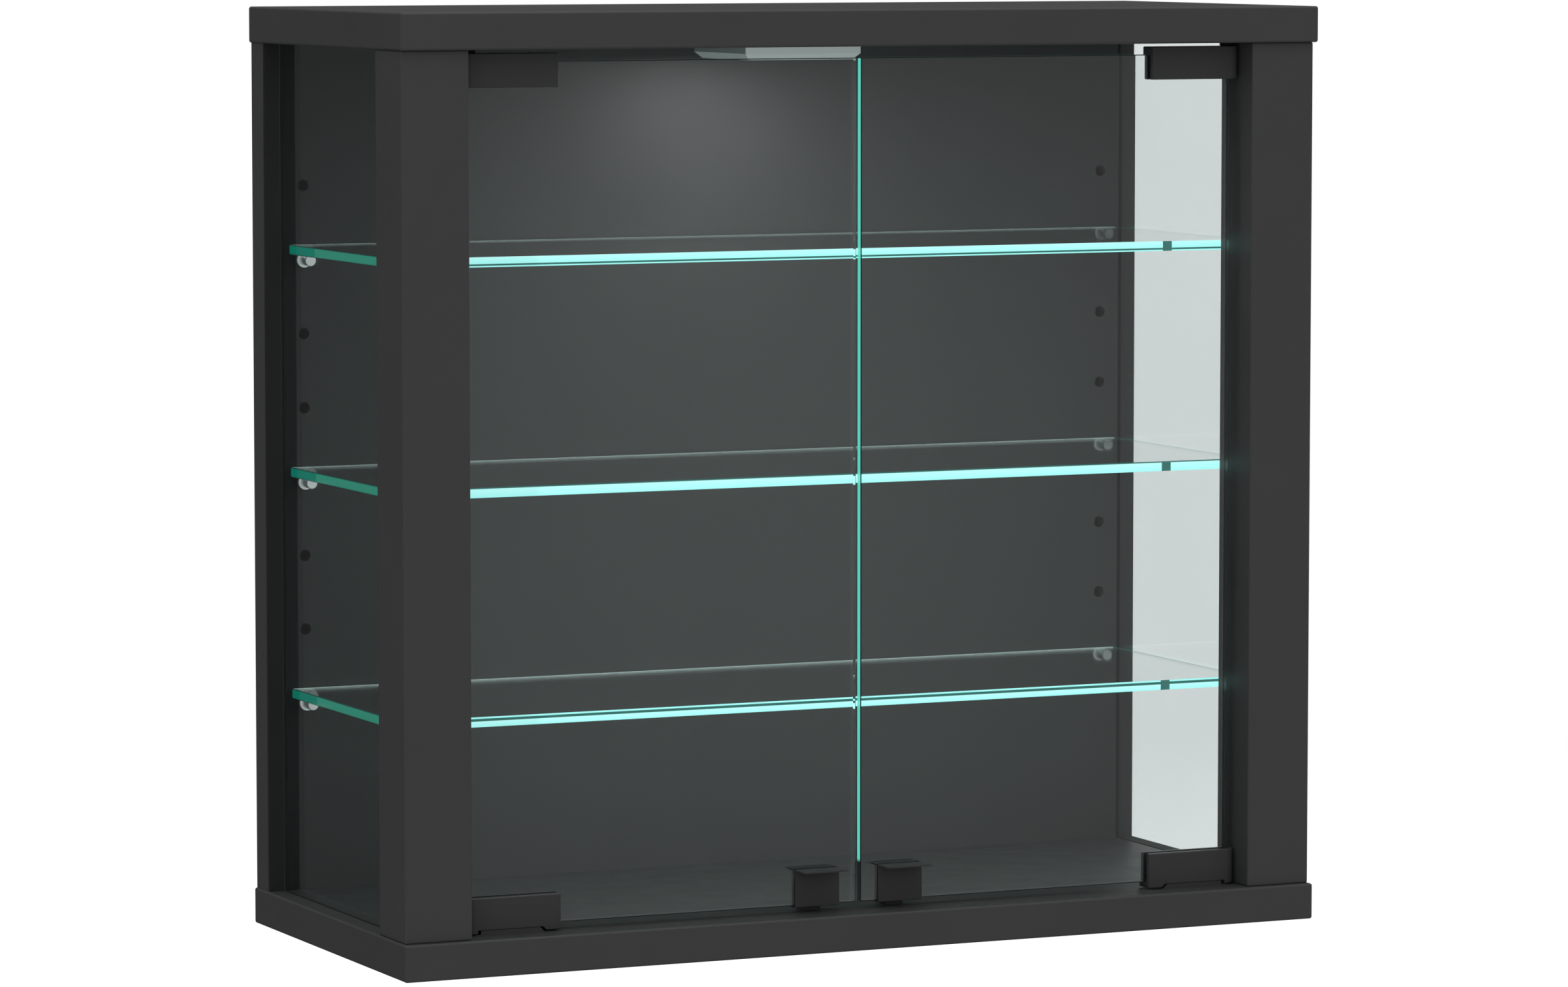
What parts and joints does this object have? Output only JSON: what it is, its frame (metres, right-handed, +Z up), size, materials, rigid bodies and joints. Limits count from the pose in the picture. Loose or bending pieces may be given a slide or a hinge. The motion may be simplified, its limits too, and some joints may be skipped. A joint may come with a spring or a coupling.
{
  "type": "wall mounted showcase",
  "caption": "Wall-hung display case with dark boards and posts, hinged glass doors, glass sides, glass shelves on pins and a square light under the top board.",
  "frame": {"origin": "centre of the rear face, the face that lies on the wall", "axes": "+X across to the viewer's right, +Y into the wall, so the doors face -Y, and +Z up"},
  "size_m": [0.6, 0.256, 0.562],
  "materials": {
    "dark_board": "satin",
    "clear_glass": "gloss",
    "polished_pin": "polished",
    "black_metal": "satin",
    "soft_pad": "matte",
    "zinc_steel": "satin",
    "bearing_brass": "satin",
    "black_plastic": "matte",
    "magnet_block": "satin",
    "silver_housing": "satin",
    "frosted_lens": "matte",
    "circuit": "matte",
    "led_chip": "gloss",
    "beech": "matte"
  },
  "bodies": {
    "case": {"bottom_board": "dark_board", "top_board": "dark_board", "left_front_post": "dark_board", "right_front_post": "dark_board", "back_board": "dark_board", "left_side_glass": "clear_glass", "right_side_glass": "clear_glass", "lower_shelf": "clear_glass", "middle_shelf": "clear_glass", "upper_shelf": "clear_glass", "lower_shelf_pins": "polished_pin", "middle_shelf_pins": "polished_pin", "upper_shelf_pins": "polished_pin", "left_pivot_base": "black_metal", "right_pivot_base": "black_metal", "glass_setting_blocks": "soft_pad", "pivot_base_screws": "zinc_steel", "bottom_pivot_pins": "zinc_steel", "top_pivot_pins": "zinc_steel", "catch_screws": "zinc_steel", "light_screws": "zinc_steel", "cam_discs": "zinc_steel", "cam_bolts": "zinc_steel", "post_tie_rods": "zinc_steel", "tie_rod_nuts": "zinc_steel", "hanger_screws": "zinc_steel", "left_hanger_plate": "zinc_steel", "right_hanger_plate": "zinc_steel", "tie_rod_inserts": "bearing_brass", "left_catch": "black_plastic", "right_catch": "black_plastic", "light_inlet_socket": "black_plastic", "left_top_pivot_bush": "black_plastic", "right_top_pivot_bush": "black_plastic", "catch_magnets": "magnet_block", "light_housing": "silver_housing", "light_lens": "frosted_lens", "light_circuit_board": "circuit", "light_chips": "led_chip", "dowels": "beech"},
    "left_door": {"left_door_glass": "clear_glass", "left_door_bottom_clip": "black_metal", "left_door_top_clip": "black_metal", "left_clip_pads": "soft_pad", "left_clip_screws": "zinc_steel", "left_door_handle": "black_metal", "left_handle_liner": "soft_pad"},
    "right_door": {"right_door_glass": "clear_glass", "right_door_bottom_clip": "black_metal", "right_door_top_clip": "black_metal", "right_clip_pads": "soft_pad", "right_clip_screws": "zinc_steel", "right_door_handle": "black_metal", "right_handle_liner": "soft_pad"}
  },
  "joints": [
    {"name": "left_door_hinge", "type": "hinge", "parent": "case", "child": "left_door", "pos_m": [-0.2492, -0.232, 0], "axis": [0, 0, 1], "range_deg": [-90, 0]},
    {"name": "right_door_hinge", "type": "hinge", "parent": "case", "child": "right_door", "pos_m": [0.2492, -0.232, 0], "axis": [0, 0, 1], "range_deg": [0, 90]}
  ]
}
